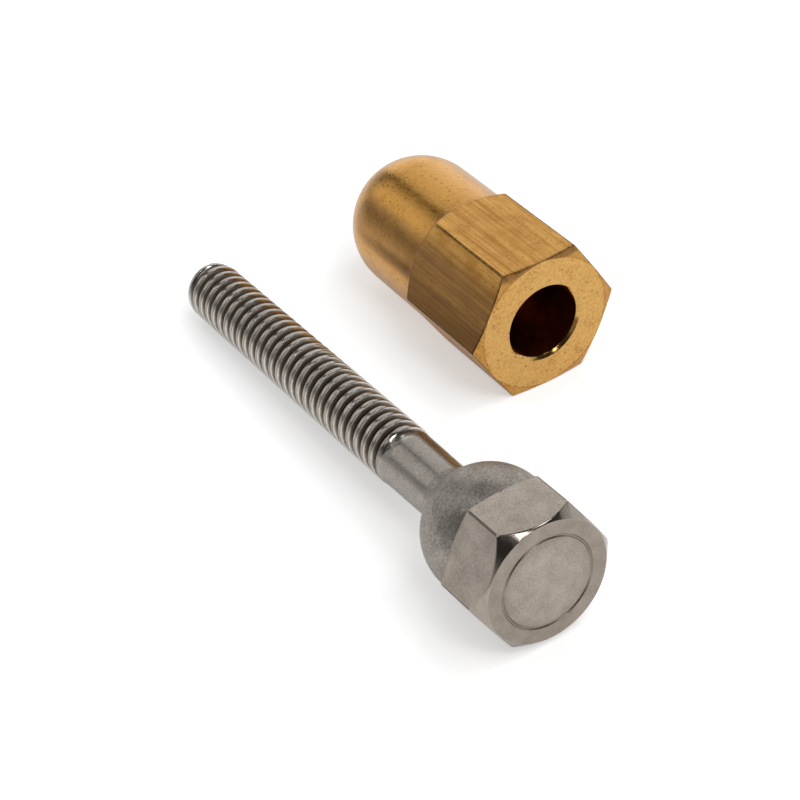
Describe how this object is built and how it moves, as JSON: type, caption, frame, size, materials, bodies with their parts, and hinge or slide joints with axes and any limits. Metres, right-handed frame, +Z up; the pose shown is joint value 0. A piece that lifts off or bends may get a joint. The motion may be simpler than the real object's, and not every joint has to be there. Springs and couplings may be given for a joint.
{
  "type": "clamp bolt",
  "caption": "Stainless clamp bolt with a ball seat under its hex head, lying beside its brass hex nut with a domed end and a through bore",
  "frame": {"origin": "centre of the base of the two pieces together, on the surface that they lie on", "axes": "+X runs along the bolt toward its head, +Y from the bolt to the nut, +Z up"},
  "size_m": [0.0966, 0.0554, 0.0222],
  "materials": {
    "steel": "blasted stainless steel, satin",
    "brass": "drawn and turned brass, satin, slightly tarnished"
  },
  "bodies": {
    "root": {"bolt": "steel", "nut": "brass"}
  },
  "joints": []
}
